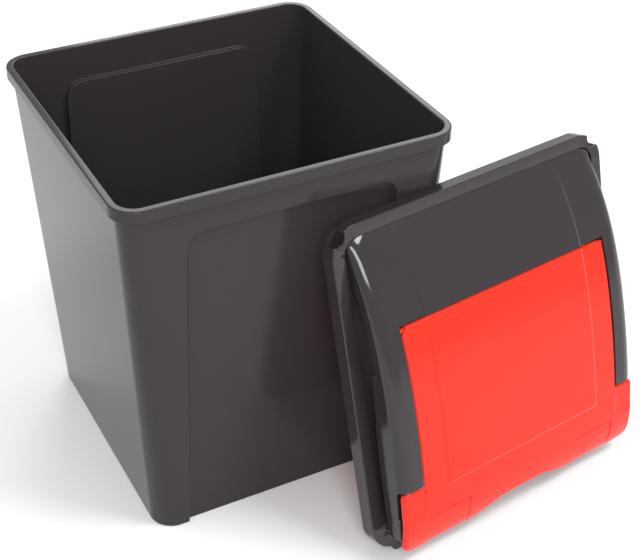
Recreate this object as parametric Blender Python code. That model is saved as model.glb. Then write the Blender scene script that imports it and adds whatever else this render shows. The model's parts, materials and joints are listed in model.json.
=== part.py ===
# Flip-lid waste bin: an open tub with its lid off and leaning on the tub's front wall.
# Metres, +Z up, origin under the middle of the tub, on the floor. The tub's front faces -Y.
import math

import bmesh
import bpy
from mathutils import Matrix, Vector

# Tub
TUB_HEIGHT = 0.350
RIM_HALF_X = 0.1513
RIM_HALF_Y = 0.1482
RIM_WIDTH = 0.0066
RIM_DEPTH = 0.011
RIM_WALL = 0.0022
RIM_FLARE = 0.0003
RIM_RADIUS = 0.0232
RIM_EDGE = 0.0010
TUB_WALL = 0.0020
BASE_HALF_X = 0.1320
BASE_HALF_Y = 0.1334
BASE_RADIUS = 0.0219
BASE_EDGE = 0.0012
FLOOR_THICKNESS = 0.0055
FOOT_WIDTH = 0.0080
FOOT_DEPTH = 0.0030
FOOT_RADIUS = 0.0100
FOOT_RIB = 0.0080
FLOOR_FILLET = 0.0040

# Recessed panels in the tub's front and back walls
PANEL_TOP = 0.3150
PANEL_HALF_TOP = 0.0940
PANEL_HALF_BASE = 0.1023
PANEL_RADIUS = 0.0140
PANEL_RECESS = 0.0049

# Lid frame: its skirt goes over the tub's rim, its step goes down inside it
LID_CLEARANCE = 0.00045
SKIRT_WALL = 0.0020
SKIRT_HEIGHT = 0.0146
SKIRT_EDGE = 0.0008
FLANGE_THICKNESS = 0.0020
STEP_CLEARANCE = 0.0004
STEP_WALL = 0.0016
STEP_DEPTH = 0.0030
FRAME_WALL = 0.0020
FRAME_WALL_INSET = 0.0096
FRAME_REAR_LEDGE = 0.0117
FRAME_FRONT_LEDGE = 0.0047
FRAME_OPENING_RADIUS = 0.0120
NOTCH_REACH = 0.0145
NOTCH_RADIUS = 0.0080
FRONT_LIP_REACH = 0.0047
FRONT_LIP_END = 0.0200
FRONT_LIP_RADIUS = 0.0035

# Lid cover: an arched shell that stands on the frame
COVER_WALL = 0.0022
COVER_INSET = 0.0036
COVER_EDGE_RADIUS = 0.0090
COVER_LEAST_EDGE = 0.0008
SEAT_GAP = 0.0003
COVER_FLARE = 0.0040
DOME_RISE = 0.0386
DOME_SPAN = 0.1742
DOME_FALL_SHARE = 0.5
LIP_START_SETBACK = 0.0347
LIP_RISE = 0.0196
LIP_RISE_LENGTH = 0.0560
LIP_FALL = 0.0095
LIP_FALL_LENGTH = 0.1120
STRIP_SETBACK = 0.0607
CHEEK_SETBACK = 0.0080
CHEEK_TOP_REAR = 0.0406
CHEEK_FALL = 0.0045
CHEEK_FILLET = 0.0030
OPENING_RIM_DEPTH = 0.0090
OPENING_GAP = 0.0008
OPENING_RADIUS = 0.0025

# Raised middle panel, which runs over the cover and the flap
RAISED_HALF = 0.0875
RAISED_HEIGHT = 0.0012
RAISED_SLOPE = 0.0020
RAISED_END_SETBACK = 0.0497
RAISED_FADE = 0.0250

# Flap
FLAP_SIDE_INSET = 0.0205
FLAP_SIDE_GAP = 0.0010
FLAP_WALL = 0.0022
FLAP_SINK = 0.0004
FLAP_CROWN_SETBACK = 0.0927
FLAP_CORNER_RADIUS = 0.0090
FLAP_TAIL = 0.0015
LIP_OVERHANG = 0.0028
LIP_BOTTOM_HEIGHT = 0.0290
LIP_BEND_SHARES = ((0.47, 0.045), (0.863, 0.09))
EAR_GAP = 0.0015
EAR_FILLET = 0.0020
EAR_RADIUS = 0.0045
EAR_BOTTOM_RADIUS = 0.0140
EAR_EDGE_RADIUS = 0.0030
EAR_RETURN = 0.0050
RIB_INSET = 0.0015
RIB_WIDTH = 0.0020
RIB_DEPTH = 0.0060
RIB_REAR_SETBACK = 0.0080
RIB_FRONT_SETBACK = 0.0310
FACET_HEIGHT = 0.0210
FACET_DEPTH = 0.0005
FACET_OUTER = 0.1100
GRIP_HALF = 0.0600
GRIP_RISE = 0.0030
GRIP_RAMP = 0.0050

# Hinge
HINGE_SETBACK = 0.0812
HINGE_COVER = 0.0012
PIN_RADIUS = 0.0025
PIN_CLEARANCE = 0.0003
PIN_PROUD = 0.0008

# How the lid leans: turned and tilted, its lower edge on the floor, its rear edge against the tub
LEAN_TILT = math.radians(75.3)
LEAN_YAW = math.radians(8.6)
LEAN_ALONG = 0.1381
LEAN_GAP = 0.0003

# Counts, and how far cutters run past what they cut
OVERRUN = 0.0100
CORNER_STEPS = 6
EDGE_STEPS = 2
DOME_STEPS = 26
FLAP_STEPS = 14
PIN_SIDES = 24
SEARCH_STEPS = 20
FLAT_ANGLE = 0.01
TANGENT_SHARE = 0.005

# Sizes that follow from the ones above
wall_top_x = RIM_HALF_X - RIM_WIDTH + TUB_WALL
wall_top_y = RIM_HALF_Y - RIM_WIDTH + TUB_WALL
wall_top_radius = RIM_RADIUS - RIM_WIDTH + TUB_WALL
lid_half_x = RIM_HALF_Y + LID_CLEARANCE + SKIRT_WALL
lid_half_y = RIM_HALF_X + LID_CLEARANCE + SKIRT_WALL
lid_radius = RIM_RADIUS + LID_CLEARANCE + SKIRT_WALL
step_half_x = RIM_HALF_Y - RIM_WIDTH - STEP_CLEARANCE - STEP_WALL
step_half_y = RIM_HALF_X - RIM_WIDTH - STEP_CLEARANCE - STEP_WALL
step_radius = RIM_RADIUS - RIM_WIDTH - STEP_CLEARANCE - STEP_WALL
step_floor = SKIRT_HEIGHT - STEP_DEPTH
frame_wall_x = step_half_x - FRAME_WALL_INSET
frame_rear = step_half_y - FRAME_REAR_LEDGE
frame_front = -step_half_y + FRAME_FRONT_LEDGE
cover_half = step_half_x - COVER_INSET
cover_rear = step_half_y - SEAT_GAP
cover_front = -step_half_y + CHEEK_SETBACK
strip_front = -step_half_y + STRIP_SETBACK
crown_y = step_half_y - DOME_SPAN
flap_half = cover_half - FLAP_SIDE_INSET
opening_half = flap_half + FLAP_SIDE_GAP
hinge_y = step_half_y - HINGE_SETBACK
hinge_depth = HINGE_COVER + PIN_RADIUS + PIN_CLEARANCE
bead_radius = hinge_depth + RAISED_HEIGHT
opening_rear = hinge_y + bead_radius + OPENING_GAP
ear_half = cover_half + COVER_FLARE
ear_rear = strip_front - EAR_GAP
flap_tail_y = hinge_y + FLAP_TAIL
flap_crown_y = -step_half_y + FLAP_CROWN_SETBACK
flap_lip_y = -lid_half_y - LIP_OVERHANG
raised_end = -step_half_y + RAISED_END_SETBACK


def dome_height(y):
    share = (y - crown_y) / DOME_SPAN
    fall = DOME_FALL_SHARE * share**2 + (1 - DOME_FALL_SHARE) * share**4
    return SKIRT_HEIGHT + DOME_RISE * (1 - fall)


hinge_z = dome_height(hinge_y) - hinge_depth
flap_crown_z = dome_height(flap_crown_y) - FLAP_SINK


def remove_everything():
    for found in list(bpy.data.objects):
        bpy.data.objects.remove(found)


def plastic(name, colour, roughness):
    material = bpy.data.materials.new(name)
    material.use_nodes = True
    shader = material.node_tree.nodes["Principled BSDF"]
    shader.inputs["Base Color"].default_value = (*colour, 1)
    shader.inputs["Roughness"].default_value = roughness
    shader.inputs["Metallic"].default_value = 0
    material.diffuse_color = (*colour, 1)
    return material


def empty(name, location, rotation, parent=None):
    made = bpy.data.objects.new(name, None)
    bpy.context.scene.collection.objects.link(made)
    made.location = location
    made.rotation_euler = rotation
    made.parent = parent
    return made


def solid(name, mesh, parent=None, material=None):
    made = bpy.data.objects.new(name, mesh)
    bpy.context.scene.collection.objects.link(made)
    made.parent = parent
    mesh.shade_smooth()
    mesh.set_sharp_from_angle(angle=math.radians(30))
    if material:
        mesh.materials.append(material)
    return made


def combine(target, other, operation):
    other.hide_render = True
    other.display_type = "WIRE"
    step = target.modifiers.new(other.name, "BOOLEAN")
    step.operation = operation
    step.solver = "EXACT"
    step.object = other


# Meshes made from rings of points

def loft(name, rings, around=False):
    build = bmesh.new()
    made = [[build.verts.new(point) for point in ring] for ring in rings]
    pairs = list(zip(made, made[1:]))
    if around:
        pairs.append((made[-1], made[0]))
    for first, second in pairs:
        for k in range(len(first)):
            after = (k + 1) % len(first)
            build.faces.new((first[k], first[after], second[after], second[k]))
    if not around:
        build.faces.new(made[0])
        build.faces.new(made[-1])
    bmesh.ops.recalc_face_normals(build, faces=build.faces)
    bmesh.ops.connect_verts_nonplanar(build, angle_limit=math.radians(FLAT_ANGLE), faces=build.faces)
    mesh = bpy.data.meshes.new(name)
    build.to_mesh(mesh)
    build.free()
    return mesh


def arc(centre, radius, start, end, steps):
    angles = [math.radians(start + (end - start) * k / steps) for k in range(steps + 1)]
    return [(centre[0] + radius * math.cos(a), centre[1] + radius * math.sin(a)) for a in angles]


def rounded_outline(half_x, half_y, radius, middle_y=0):
    inner_x, inner_y = half_x - radius, half_y - radius
    places = ((inner_x, inner_y), (-inner_x, inner_y), (-inner_x, -inner_y), (inner_x, -inner_y))
    points = []
    for quarter, (x, y) in enumerate(places):
        start = 90 * quarter
        points += arc((x, y + middle_y), radius, start, start + 90, CORNER_STEPS)
    return points


def level(outline, height):
    return [(x, y, height) for x, y in outline]


def prism(name, outline, low, high):
    return loft(name, [level(outline, low), level(outline, high)])


def side_prism(name, outline, low, high):
    return loft(name, [[(x, y, z) for y, z in outline] for x in (low, high)])


def box(name, low, high):
    outline = [(low[0], low[1]), (high[0], low[1]), (high[0], high[1]), (low[0], high[1])]
    return prism(name, outline, low[2], high[2])


def rod(name, centre_y, centre_z, radius, low, high):
    return side_prism(name, arc((centre_y, centre_z), radius, 0, 360, PIN_SIDES)[:-1], low, high)


# Tub

def wall_size(height):
    share = height / (TUB_HEIGHT - RIM_DEPTH)
    half_x = BASE_HALF_X + (wall_top_x - BASE_HALF_X) * share
    half_y = BASE_HALF_Y + (wall_top_y - BASE_HALF_Y) * share
    radius = BASE_RADIUS + (wall_top_radius - BASE_RADIUS) * share
    return half_x, half_y, radius


def wall_ring(height, inset):
    half_x, half_y, radius = wall_size(height)
    return level(rounded_outline(half_x - inset, half_y - inset, radius - inset), height)


def rim_ring(inset, height):
    outline = rounded_outline(RIM_HALF_X - inset, RIM_HALF_Y - inset, RIM_RADIUS - inset)
    return level(outline, height)


def tub_rings():
    under_rim = TUB_HEIGHT - RIM_WALL
    rim_bottom = TUB_HEIGHT - RIM_DEPTH
    rings = [level(rounded_outline(BASE_HALF_X - BASE_EDGE, BASE_HALF_Y - BASE_EDGE,
                                   BASE_RADIUS - BASE_EDGE), 0)]
    rings.append(wall_ring(BASE_EDGE, 0))
    rings.append(wall_ring(rim_bottom, 0))
    rings.append(rim_ring(RIM_WIDTH - TUB_WALL, under_rim))
    rings.append(rim_ring(RIM_WALL, under_rim))
    rings.append(rim_ring(RIM_WALL - RIM_FLARE, rim_bottom))
    rings.append(rim_ring(-RIM_FLARE, rim_bottom))
    rings.append(rim_ring(0, TUB_HEIGHT - RIM_EDGE))
    for across, up in arc((RIM_EDGE, TUB_HEIGHT - RIM_EDGE), RIM_EDGE, 180, 90, EDGE_STEPS)[1:]:
        rings.append(rim_ring(across, up))
    rings.append(rim_ring(RIM_WIDTH, TUB_HEIGHT))
    rings.append(wall_ring(rim_bottom, TUB_WALL))
    fillet_top = FLOOR_THICKNESS + FLOOR_FILLET
    for across, up in arc((FLOOR_FILLET, fillet_top), FLOOR_FILLET, 180, 270, EDGE_STEPS):
        rings.append(wall_ring(up, TUB_WALL + across))
    return rings


def panel_outline(grow, bottom):
    def half(height):
        return PANEL_HALF_BASE + (PANEL_HALF_TOP - PANEL_HALF_BASE) * height / PANEL_TOP + grow
    radius = PANEL_RADIUS + grow
    top = PANEL_TOP + grow
    turn = half(top - radius) - radius
    right = arc((turn, top - radius), radius, 0, 90, CORNER_STEPS)
    left = arc((-turn, top - radius), radius, 90, 180, CORNER_STEPS)
    return [(half(bottom), bottom), *right, *left, (-half(bottom), bottom)]


def panel_mesh(name, side, outer, inner, grow, bottom):
    outline = panel_outline(grow, bottom)
    depths = (outer, inner)
    return loft(name, [[(x, side * (wall_size(z)[1] - depth), z) for x, z in outline] for depth in depths])


def make_tub(material):
    tub = solid("tub", loft("tub", tub_rings()), None, material)
    for side, word in ((-1, "front"), (1, "back")):
        inner_name = f"{word}_panel_inside"
        inner = panel_mesh(inner_name, side, TUB_WALL / 2, PANEL_RECESS + TUB_WALL, TUB_WALL,
                           FLOOR_THICKNESS / 2)
        combine(tub, solid(inner_name, inner), "UNION")
        outer_name = f"{word}_panel_outside"
        outer = panel_mesh(outer_name, side, -OVERRUN, PANEL_RECESS, 0, -OVERRUN)
        combine(tub, solid(outer_name, outer), "DIFFERENCE")
    pocket_x = (BASE_HALF_X - FOOT_WIDTH - FOOT_RIB / 2) / 2
    pocket_y = (BASE_HALF_Y - PANEL_RECESS - FOOT_WIDTH - FOOT_RIB / 2) / 2
    for across in (-1, 1):
        for along in (-1, 1):
            name = f"foot_pocket_{across + 1}_{along + 1}"
            outline = rounded_outline(pocket_x, pocket_y, FOOT_RADIUS)
            middle_x = across * (FOOT_RIB / 2 + pocket_x)
            middle_y = along * (FOOT_RIB / 2 + pocket_y)
            moved = [(x + middle_x, y + middle_y) for x, y in outline]
            combine(tub, solid(name, prism(name, moved, -OVERRUN, FOOT_DEPTH)), "DIFFERENCE")
    return tub


# Lid frame

def lid_ring(inset, height):
    outline = rounded_outline(lid_half_x - inset, lid_half_y - inset, lid_radius - inset)
    return level(outline, height)


def step_ring(grow, height):
    outline = rounded_outline(step_half_x + grow, step_half_y + grow, step_radius + grow)
    return level(outline, height)


def frame_opening(height):
    half_y = (frame_rear - frame_front) / 2
    middle = (frame_rear + frame_front) / 2
    half_x = frame_wall_x - FRAME_WALL
    return level(rounded_outline(half_x, half_y, FRAME_OPENING_RADIUS, middle), height)


def frame_rings():
    under_flange = SKIRT_HEIGHT - FLANGE_THICKNESS
    under_step = step_floor - FLANGE_THICKNESS
    return [
        lid_ring(0, 0),
        lid_ring(0, SKIRT_HEIGHT - SKIRT_EDGE),
        lid_ring(SKIRT_EDGE, SKIRT_HEIGHT),
        step_ring(0, SKIRT_HEIGHT),
        step_ring(0, step_floor),
        frame_opening(step_floor),
        frame_opening(under_step),
        step_ring(STEP_WALL, under_step),
        step_ring(STEP_WALL, under_flange),
        lid_ring(SKIRT_WALL, under_flange),
        lid_ring(SKIRT_WALL, 0),
    ]


def cheek_top(y):
    share = (strip_front - y) / (strip_front - cover_front)
    return CHEEK_TOP_REAR - CHEEK_FALL * share


def arris_drop(x):
    # How far the underside of the cover has come down at this place under its rounded arris.
    radius = COVER_EDGE_RADIUS - COVER_WALL
    beyond = max(x - cover_half + COVER_EDGE_RADIUS, 0)
    return radius - math.sqrt(radius**2 - beyond**2)


def frame_wall_outline():
    foot = step_floor - FLANGE_THICKNESS / 2
    rear = frame_rear - FRAME_WALL
    tops = [(frame_front, cheek_top(frame_front)), (strip_front, cheek_top(strip_front))]
    for k in range(DOME_STEPS + 1):
        y = strip_front + (rear - strip_front) * k / DOME_STEPS
        tops.append((y, dome_height(y) - COVER_WALL - arris_drop(frame_wall_x) - SEAT_GAP))
    return [(rear, foot), (frame_front, foot), *tops]


def notch_outline(side):
    x, y = lid_half_x - NOTCH_REACH, lid_half_y - NOTCH_REACH
    far_x, far_y = lid_half_x + OVERRUN, lid_half_y + OVERRUN
    inner = arc((x + NOTCH_RADIUS, y + NOTCH_RADIUS), NOTCH_RADIUS, 180, 270, CORNER_STEPS)
    return [(side * px, py) for px, py in ((x, far_y), *inner, (far_x, y), (far_x, far_y))]


def make_frame(parent, material):
    frame = solid("lid_frame", loft("lid_frame", frame_rings(), around=True), parent, material)
    for side, word in ((-1, "left"), (1, "right")):
        name = f"frame_wall_{word}"
        low, high = sorted((side * frame_wall_x, side * (frame_wall_x - FRAME_WALL)))
        combine(frame, solid(name, side_prism(name, frame_wall_outline(), low, high), parent), "UNION")
    foot = step_floor - FLANGE_THICKNESS / 2
    seat = flap_seat(frame_front - FRAME_WALL)
    front_wall = box("frame_wall_front", (-frame_wall_x, frame_front - FRAME_WALL, foot),
                     (frame_wall_x, frame_front, seat))
    combine(frame, solid("frame_wall_front", front_wall, parent), "UNION")
    lip_top = SKIRT_HEIGHT - SKIRT_EDGE
    lip_outline = rounded_outline(lid_half_x - FRONT_LIP_END, FRONT_LIP_REACH, FRONT_LIP_RADIUS, -lid_half_y)
    lip = prism("frame_lip", lip_outline, lip_top - FLANGE_THICKNESS, lip_top)
    inside = box("frame_lip_trim", (-lid_half_x, -lid_half_y + SKIRT_WALL / 2, 0),
                 (lid_half_x, -lid_half_y + OVERRUN, SKIRT_HEIGHT))
    lip_object = solid("frame_lip", lip, parent)
    combine(lip_object, solid("frame_lip_trim", inside, parent), "DIFFERENCE")
    combine(frame, lip_object, "UNION")
    for side, word in ((-1, "left"), (1, "right")):
        name = f"frame_notch_{word}"
        notch = prism(name, notch_outline(side), -OVERRUN, SKIRT_HEIGHT + OVERRUN)
        combine(frame, solid(name, notch, parent), "DIFFERENCE")
    return frame


# Arched shells: each station is a place on the profile, its outward direction and its section

def raised(y, end):
    if y > end + RAISED_SLOPE:
        return RAISED_HEIGHT
    return 0 if y < end else RAISED_HEIGHT * (y - end) / RAISED_SLOPE


def shell_section(half, radius, wall, depth, lift):
    edge = arc((half - radius, -radius), radius, 0, 90, EDGE_STEPS + 1)
    outer = [(half, -depth), *edge, (RAISED_HALF + RAISED_SLOPE, 0), (RAISED_HALF, lift)]
    inner_radius = max(radius - wall, COVER_LEAST_EDGE)
    turn = (half - wall - inner_radius, -wall - inner_radius)
    inner = [(half - wall, -depth), *arc(turn, inner_radius, 0, 90, EDGE_STEPS + 1)]
    outer_left = [(-x, h) for x, h in reversed(outer)]
    inner_left = [(-x, h) for x, h in inner]
    return [*outer, *outer_left, *inner_left, *reversed(inner)]


def station_ring(place, direction, section):
    return [(x, place[0] + h * direction[0], place[1] + h * direction[1]) for x, h in section]


def band_section(low_x, high_x, top, bottom):
    return [(low_x, -bottom), (high_x, -bottom), (high_x, -top), (low_x, -top)]


# Lid cover

def cover_lip(y):
    seat = step_floor + SEAT_GAP
    start = step_half_y - LIP_START_SETBACK
    along = (start - y) / LIP_RISE_LENGTH
    if along <= 0:
        return seat
    if along < 1:
        return seat + LIP_RISE * math.sin(math.pi / 2 * along)
    down = min((start - LIP_RISE_LENGTH - y) / LIP_FALL_LENGTH, 1)
    return seat + LIP_RISE - LIP_FALL * (1 - math.cos(math.pi * down)) / 2


def cover_ring(y):
    top = dome_height(y)
    depth = max(top - cover_lip(y), COVER_WALL)
    radius = min(COVER_EDGE_RADIUS, depth - COVER_LEAST_EDGE)
    lift = RAISED_HEIGHT * min((cover_rear - y) / RAISED_FADE, 1)
    wall = min(COVER_WALL, depth - COVER_LEAST_EDGE)
    half = cover_half + COVER_FLARE * (cover_rear - y) / (cover_rear - cover_front)
    return station_ring((y, top), (0, 1), shell_section(half, radius, wall, depth, lift))


def cover_stations(low, high, steps):
    return [low + (high - low) * k / steps for k in range(steps + 1)]


def cover_band(name, half, low, high):
    section = band_section(-half, half, COVER_WALL / 2, OPENING_RIM_DEPTH)
    stations = cover_stations(low, high, DOME_STEPS // 2)
    return loft(name, [station_ring((y, dome_height(y)), (0, 1), section) for y in stations])


def make_cover(parent, material):
    stations = cover_stations(cover_front, cover_rear, DOME_STEPS)
    cover = solid("lid_cover", loft("lid_cover", [cover_ring(y) for y in stations]), parent, material)
    high = SKIRT_HEIGHT + DOME_RISE + OVERRUN
    plan = rounded_outline(step_half_x - SEAT_GAP, step_half_y - SEAT_GAP, step_radius - SEAT_GAP)
    combine(cover, solid("cover_plan", prism("cover_plan", plan, -OVERRUN, high), parent), "INTERSECT")
    rim = cover_band("opening_rim", opening_half + COVER_WALL, strip_front - COVER_WALL,
                     opening_rear + COVER_WALL)
    combine(cover, solid("opening_rim", rim, parent), "UNION")
    rear = opening_rear - OPENING_RADIUS
    turn = opening_half - OPENING_RADIUS
    right = arc((turn, rear), OPENING_RADIUS, 0, 90, CORNER_STEPS)
    left = arc((-turn, rear), OPENING_RADIUS, 90, 180, CORNER_STEPS)
    front = cover_front - OVERRUN
    outline = [(opening_half, front), *right, *left, (-opening_half, front)]
    combine(cover, solid("flap_opening", prism("flap_opening", outline, 0, high), parent), "DIFFERENCE")
    corner = (strip_front - CHEEK_FILLET, cheek_top(strip_front) + CHEEK_FILLET)
    notch = [(strip_front, high), *arc(corner, CHEEK_FILLET, 0, -90, CORNER_STEPS),
             (front, cheek_top(front)), (front, high)]
    across = cover_half + OVERRUN
    combine(cover, solid("cheek_notch", side_prism("cheek_notch", notch, -across, across), parent),
            "DIFFERENCE")
    reach = opening_half + COVER_WALL + OVERRUN
    bore = rod("hinge_bore", hinge_y, hinge_z, PIN_RADIUS + PIN_CLEARANCE, -reach, reach)
    combine(cover, solid("hinge_bore", bore, parent), "DIFFERENCE")
    return cover


# Flap

def flap_point(share):
    # Shares from -1 to 0 run from the tail to the crown, and from 0 to 1 from the crown to the lip.
    if share <= 0:
        y = flap_crown_y + (flap_tail_y - flap_crown_y) * -share
        return y, dome_height(y) - FLAP_SINK * (1 + share)
    ends = (flap_crown_y, flap_crown_z), (flap_lip_y, LIP_BOTTOM_HEIGHT)
    bends = [(ends[0][0] + (ends[1][0] - ends[0][0]) * along, ends[0][1] + (ends[1][1] - ends[0][1]) * down)
             for along, down in LIP_BEND_SHARES]
    weights = ((1 - share)**3, 3 * share * (1 - share)**2, 3 * share**2 * (1 - share), share**3)
    points = (ends[0], *bends, ends[1])
    return tuple(sum(w * point[axis] for w, point in zip(weights, points)) for axis in (0, 1))


def flap_direction(share):
    step = TANGENT_SHARE
    before = Vector(flap_point(max(share - step, -1)))
    after = Vector(flap_point(min(share + step, 1)))
    along = (after - before).normalized()
    return -along.y, along.x


def flap_seat(y):
    # The height that the underside of the closed flap leaves free at this place.
    low, high = 0, 1
    for _ in range(SEARCH_STEPS):
        share = (low + high) / 2
        place = Vector(flap_point(share)) - Vector(flap_facing(share)) * (FLAP_WALL + SEAT_GAP)
        low, high = (share, high) if place.x > y else (low, share)
    return place.y


def flap_stations():
    upper = [-1 + k / FLAP_STEPS for k in range(FLAP_STEPS)]
    lower = [k / FLAP_STEPS for k in range(FLAP_STEPS + 1)]
    return upper + lower


def flap_facing(share):
    y, z = flap_direction(share)
    return (y, z) if z > 0 else (-y, -z)


def ear_width(share):
    place = Vector(flap_point(share))
    left = (place - Vector(flap_point(1))).length
    if share <= 0 or left >= EAR_BOTTOM_RADIUS:
        return ear_half
    missing = EAR_BOTTOM_RADIUS - left
    return ear_half - EAR_BOTTOM_RADIUS + math.sqrt(EAR_BOTTOM_RADIUS**2 - missing**2)


def flap_ring(share):
    place = flap_point(share)
    section = shell_section(ear_width(share), EAR_EDGE_RADIUS, FLAP_WALL, EAR_RETURN,
                            raised(place[0], raised_end))
    return station_ring(place, flap_facing(share), section)


def rib_shares():
    # Rib stations lie midway between those of the flap.
    rear, front = hinge_y - RIB_REAR_SETBACK, flap_lip_y + RIB_FRONT_SETBACK
    stations = flap_stations()
    middles = [(first + second) / 2 for first, second in zip(stations, stations[1:])]
    return [share for share in middles if front <= flap_point(share)[0] <= rear]


def ear_outline(side):
    high = hinge_y + OVERRUN * 2
    wide = ear_half + OVERRUN
    fillet = arc((flap_half + EAR_FILLET, ear_rear + EAR_FILLET), EAR_FILLET, 180, 270, CORNER_STEPS)
    corner = arc((ear_half - EAR_RADIUS, ear_rear - EAR_RADIUS), EAR_RADIUS, 90, 0, CORNER_STEPS)
    tail = arc((flap_half - FLAP_CORNER_RADIUS, flap_tail_y - FLAP_CORNER_RADIUS), FLAP_CORNER_RADIUS,
               90, 0, CORNER_STEPS)
    points = [(flap_half - FLAP_CORNER_RADIUS, high), *tail, *fillet, *corner,
              (wide, ear_rear - EAR_RADIUS), (wide, high)]
    return [(side * x, y) for x, y in points]


def facet_mesh(name, side):
    # A flat facet on the lip, from its lower edge up to a crease.
    low, high = 0, 1
    end = Vector(flap_point(1))
    for _ in range(SEARCH_STEPS):
        share = (low + high) / 2
        low, high = (share, high) if (Vector(flap_point(share)) - end).length > FACET_HEIGHT else (low, share)
    crease = Vector(flap_point(share))
    foot = end - Vector(flap_facing(1)) * FACET_DEPTH
    down = (foot - crease).normalized()
    out = Vector(flap_facing(1)) * OVERRUN
    outline = [crease, foot + down * OVERRUN, foot + down * OVERRUN + out, crease + out]
    across = sorted((side * (GRIP_HALF + GRIP_RAMP), side * FACET_OUTER))
    return side_prism(name, outline, *across)


def grip_outline():
    low = flap_lip_y - OVERRUN
    edge = flap_lip_y + GRIP_RISE
    ramp = GRIP_HALF + GRIP_RAMP
    outer = ramp + GRIP_RAMP * (edge - low) / GRIP_RISE
    return [(-outer, low), (outer, low), (GRIP_HALF, edge), (-GRIP_HALF, edge)]


def make_flap(hinge, material):
    def keep(name, mesh):
        mesh.transform(Matrix.Translation((0, -hinge_y, -hinge_z)))
        return solid(name, mesh, hinge)

    flap = keep("flap", loft("flap", [flap_ring(share) for share in flap_stations()]))
    flap.data.materials.append(material)
    low, high = -OVERRUN, SKIRT_HEIGHT + DOME_RISE + OVERRUN
    combine(flap, keep("grip_cut", prism("grip_cut", grip_outline(), low, high)), "DIFFERENCE")
    for side, word in ((-1, "left"), (1, "right")):
        name = f"facet_{word}"
        combine(flap, keep(name, facet_mesh(name, side)), "DIFFERENCE")
    for side, word in ((-1, "left"), (1, "right")):
        name = f"ear_cut_{word}"
        combine(flap, keep(name, prism(name, ear_outline(side), low, high)), "DIFFERENCE")
    for side, word in ((-1, "left"), (1, "right")):
        outer = flap_half - RIB_INSET
        section = band_section(*sorted((side * outer, side * (outer - RIB_WIDTH))), FLAP_WALL / 2, RIB_DEPTH)
        rib = [station_ring(flap_point(share), flap_facing(share), section) for share in rib_shares()]
        combine(flap, keep(f"rib_{word}", loft(f"rib_{word}", rib)), "UNION")
    bead = rod("bead", hinge_y, hinge_z, bead_radius, -RAISED_HALF, RAISED_HALF)
    combine(flap, keep("bead", bead), "UNION")
    side = flap_half - FLAP_CORNER_RADIUS
    combine(flap, keep("side_bead", rod("side_bead", hinge_y, hinge_z, hinge_depth, -side, side)), "UNION")
    pin_end = opening_half + COVER_WALL + PIN_PROUD
    combine(flap, keep("pins", rod("pins", hinge_y, hinge_z, PIN_RADIUS, -pin_end, pin_end)), "UNION")
    return flap


# The place and tilt of the leaning lid, from the tub it rests on

def lean_place():
    # A tub too low to hold the lid's rear edge under its rim has the lid lean flatter.
    lowest = SKIRT_HEIGHT - SKIRT_EDGE - FLANGE_THICKNESS
    front = lid_half_y + FRONT_LIP_REACH
    under_rim = TUB_HEIGHT - RIM_DEPTH - LEAN_GAP
    tilt = min(LEAN_TILT, math.asin(min(under_rim / (front + lid_half_y), 1)))
    height = LEAN_GAP + front * math.sin(tilt) - lowest * math.cos(tilt)
    towards_tub = Vector((-math.sin(LEAN_YAW), math.cos(LEAN_YAW)))
    along = Vector((math.cos(LEAN_YAW), math.sin(LEAN_YAW)))
    half_x, half_y, radius = wall_size(height + lid_half_y * math.sin(tilt))
    corner = Vector((half_x - radius, radius - half_y))
    reach = corner.dot(towards_tub) - radius - LEAN_GAP - lid_half_y * math.cos(tilt)
    place = along * LEAN_ALONG + towards_tub * reach
    return (place.x, place.y, height), tilt


def build():
    remove_everything()
    charcoal_tub = plastic("tub_charcoal", (0.070, 0.066, 0.068), 0.32)
    charcoal_frame = plastic("frame_charcoal", (0.045, 0.042, 0.044), 0.18)
    charcoal_cover = plastic("cover_charcoal", (0.050, 0.046, 0.048), 0.16)
    red = plastic("flap_red", (0.86, 0.055, 0.035), 0.24)
    make_tub(charcoal_tub)
    place, tilt = lean_place()
    lid = empty("lid_place", place, (tilt, 0, LEAN_YAW))
    make_frame(lid, charcoal_frame)
    make_cover(lid, charcoal_cover)
    hinge = empty("flap_hinge", (0, hinge_y, hinge_z), (0, 0, 0), lid)
    make_flap(hinge, red)


build()
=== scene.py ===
import json
import math

import bmesh
import bpy
from mathutils import Matrix, Vector


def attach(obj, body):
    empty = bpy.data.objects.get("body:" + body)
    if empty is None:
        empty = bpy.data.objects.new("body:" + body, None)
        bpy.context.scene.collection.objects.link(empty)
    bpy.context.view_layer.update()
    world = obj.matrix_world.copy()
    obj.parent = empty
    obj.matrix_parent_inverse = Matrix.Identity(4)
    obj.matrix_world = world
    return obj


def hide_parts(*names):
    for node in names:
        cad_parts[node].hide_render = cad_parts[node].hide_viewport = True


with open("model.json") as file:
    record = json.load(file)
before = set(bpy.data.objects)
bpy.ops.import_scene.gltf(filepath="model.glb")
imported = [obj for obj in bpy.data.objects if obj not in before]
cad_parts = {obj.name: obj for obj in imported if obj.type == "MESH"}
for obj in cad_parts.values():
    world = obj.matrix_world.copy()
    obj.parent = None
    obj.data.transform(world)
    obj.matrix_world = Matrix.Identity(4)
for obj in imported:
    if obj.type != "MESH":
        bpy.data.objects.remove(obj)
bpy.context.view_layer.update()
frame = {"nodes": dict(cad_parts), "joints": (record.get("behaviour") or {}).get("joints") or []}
print("frame loaded:", sorted(frame["nodes"]))


# Small modelling helpers

tiny = 0.00002    # slack when vertices are picked by their place
halvings = 30    # steps of a search by halving


def alone(piece):
    if bpy.context.object and bpy.context.object.mode != "OBJECT":
        bpy.ops.object.mode_set(mode="OBJECT")
    bpy.ops.object.select_all(action="DESELECT")
    piece.select_set(True)
    bpy.context.view_layer.objects.active = piece


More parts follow.
